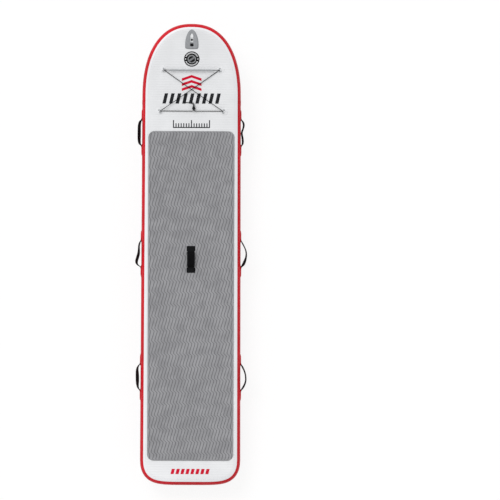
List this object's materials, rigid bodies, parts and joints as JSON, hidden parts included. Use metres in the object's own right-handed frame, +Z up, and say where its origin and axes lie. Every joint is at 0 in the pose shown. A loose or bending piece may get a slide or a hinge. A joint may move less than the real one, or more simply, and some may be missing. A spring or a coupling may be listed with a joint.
{
  "type": "rescue board",
  "caption": "Inflatable drop-stitch rescue board with a grooved deck pad, rail and carry handles, a bow bungee, an inflation valve, an accessory mount, two fins and a tow ring.",
  "frame": {"origin": "centre of the bounding box at its base, on the plane of the fins' tips", "axes": "+X to starboard, +Y towards the nose, +Z up out of the deck"},
  "size_m": [0.8667, 3.505, 0.3704],
  "materials": {
    "core_weave": "matte",
    "white_pvc": "satin",
    "red_pvc": "satin",
    "pad_foam": "matte",
    "black_webbing": "matte",
    "black_plastic": "satin",
    "grey_plastic": "matte",
    "pale_plastic": "satin",
    "black_rubber": "matte",
    "steel": "polished"
  },
  "bodies": {
    "board": {"drop_stitch_core": "core_weave", "deck_skin": "white_pvc", "hull_skin": "white_pvc", "rail_nose": "red_pvc", "rail_starboard": "red_pvc", "rail_port": "red_pvc", "rail_tail": "red_pvc", "deck_seam_tape": "white_pvc", "hull_seam_tape": "white_pvc", "traction_pad": "pad_foam", "carry_handle_strap": "black_webbing", "carry_handle_sleeve": "black_rubber", "carry_handle_patch_front": "black_webbing", "carry_handle_patch_rear": "black_webbing", "rail_handle_strap_port_front": "black_webbing", "rail_handle_strap_port_middle": "black_webbing", "rail_handle_strap_port_rear": "black_webbing", "rail_handle_strap_starboard_front": "black_webbing", "rail_handle_strap_starboard_middle": "black_webbing", "rail_handle_strap_starboard_rear": "black_webbing", "rail_handle_patch_port_front_fore": "red_pvc", "rail_handle_patch_port_front_aft": "red_pvc", "rail_handle_patch_port_middle_fore": "red_pvc", "rail_handle_patch_port_middle_aft": "red_pvc", "rail_handle_patch_port_rear_fore": "red_pvc", "rail_handle_patch_port_rear_aft": "red_pvc", "rail_handle_patch_starboard_front_fore": "red_pvc", "rail_handle_patch_starboard_front_aft": "red_pvc", "rail_handle_patch_starboard_middle_fore": "red_pvc", "rail_handle_patch_starboard_middle_aft": "red_pvc", "rail_handle_patch_starboard_rear_fore": "red_pvc", "rail_handle_patch_starboard_rear_aft": "red_pvc", "bungee_patch_front_port": "white_pvc", "bungee_patch_front_starboard": "white_pvc", "bungee_patch_rear_port": "white_pvc", "bungee_patch_rear_starboard": "white_pvc", "bungee_cord": "black_rubber", "bungee_sleeve": "pale_plastic", "cord_lock_body": "black_plastic", "cord_lock_spring": "steel", "camera_mount": "grey_plastic", "valve_patch": "black_rubber", "valve_housing": "black_plastic", "valve_inner_nut": "black_plastic", "valve_spring": "steel", "fin_base_port": "black_rubber", "fin_base_starboard": "black_rubber", "fin_blade_port": "black_rubber", "fin_blade_starboard": "black_rubber", "tow_patch": "white_pvc"},
    "cap": {"valve_cap": "grey_plastic", "valve_cap_gasket": "black_rubber"},
    "plunger": {"valve_plunger": "grey_plastic", "valve_seal": "black_rubber"},
    "lock_button": {"cord_lock_button": "black_plastic"},
    "ring_front_port": {"bungee_ring_front_port": "steel"},
    "ring_front_starboard": {"bungee_ring_front_starboard": "steel"},
    "ring_rear_port": {"bungee_ring_rear_port": "steel"},
    "ring_rear_starboard": {"bungee_ring_rear_starboard": "steel"},
    "tow_ring": {"tow_ring": "steel"}
  },
  "joints": [
    {"name": "valve_cap_turn", "type": "hinge", "parent": "board", "child": "cap", "pos_m": [0, 1.48437, 0.3293], "axis": [0, -0.1614, 0.9869], "range_deg": [0, 90]},
    {"name": "valve_plunger_press", "type": "slide", "parent": "board", "child": "plunger", "axis": [0, 0.1614, -0.9869], "range_m": [0, 0.005], "stiffness_N_per_m": 400, "springref_m": -0.003, "deforming": ["valve_spring"]},
    {"name": "cord_lock_press", "type": "slide", "parent": "board", "child": "lock_button", "axis": [0, 0.1018, -0.9948], "range_m": [0, 0.004], "stiffness_N_per_m": 600, "springref_m": -0.002, "deforming": ["cord_lock_spring"]},
    {"name": "bungee_ring_rock_front_port", "type": "hinge", "parent": "board", "child": "ring_front_port", "pos_m": [-0.221, 1.40479, 0.31459], "axis": [-0.2949, -0.9449, -0.142], "range_deg": [-5, 5]},
    {"name": "bungee_ring_rock_front_starboard", "type": "hinge", "parent": "board", "child": "ring_front_starboard", "pos_m": [0.221, 1.40479, 0.31459], "axis": [-0.2949, 0.9449, 0.142], "range_deg": [-5, 5]},
    {"name": "bungee_ring_rock_rear_port", "type": "hinge", "parent": "board", "child": "ring_rear_port", "pos_m": [-0.248, 1.08504, 0.27506], "axis": [0.3518, -0.9317, -0.0904], "range_deg": [-5, 5]},
    {"name": "bungee_ring_rock_rear_starboard", "type": "hinge", "parent": "board", "child": "ring_rear_starboard", "pos_m": [0.248, 1.08504, 0.27506], "axis": [0.3599, 0.9286, 0.0901], "range_deg": [-5, 5]},
    {"name": "tow_ring_swing", "type": "hinge", "parent": "board", "child": "tow_ring", "pos_m": [0, 1.57749, 0.18046], "axis": [1, 0, 0], "range_deg": [0, 165]}
  ]
}
